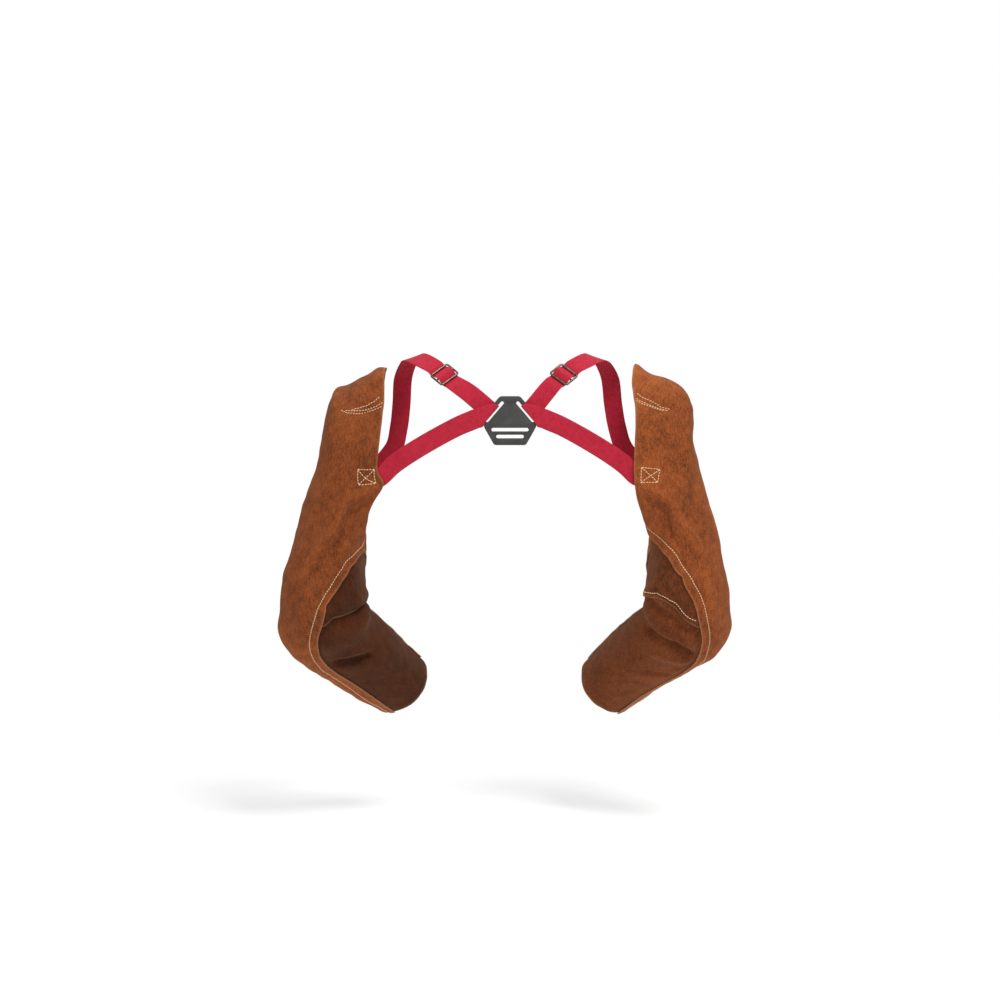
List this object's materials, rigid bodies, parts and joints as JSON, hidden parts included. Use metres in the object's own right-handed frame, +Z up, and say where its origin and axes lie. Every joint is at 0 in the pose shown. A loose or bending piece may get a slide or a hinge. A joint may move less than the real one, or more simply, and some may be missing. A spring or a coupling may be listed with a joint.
{
  "type": "leather welding sleeves",
  "caption": "Suede leather welding sleeves in their worn shape, arms bent, joined across the upper back by red webbing straps, slide buckles and a slotted plastic plate.",
  "frame": {"origin": "middle of the harness plate's body-side face, where it lies on the wearer's upper back", "axes": "+X to the wearer's right, +Y the way the wearer faces, +Z up; the harness shows from -Y"},
  "size_m": [0.6828, 0.288, 0.5537],
  "materials": {
    "suede": "rough split suede, russet brown",
    "webbing": "ribbed elastic webbing, crimson",
    "buckle_metal": "dark bronze plated wire",
    "plate_plastic": "moulded charcoal plastic"
  },
  "bodies": {
    "root": {"left_outer_panel": "suede", "left_inner_upper_panel": "suede", "left_inner_lower_panel": "suede", "left_strap": "webbing", "left_slide_buckle": "buckle_metal", "right_outer_panel": "suede", "right_inner_upper_panel": "suede", "right_inner_lower_panel": "suede", "right_strap": "webbing", "right_slide_buckle": "buckle_metal", "back_plate": "plate_plastic"}
  },
  "joints": []
}
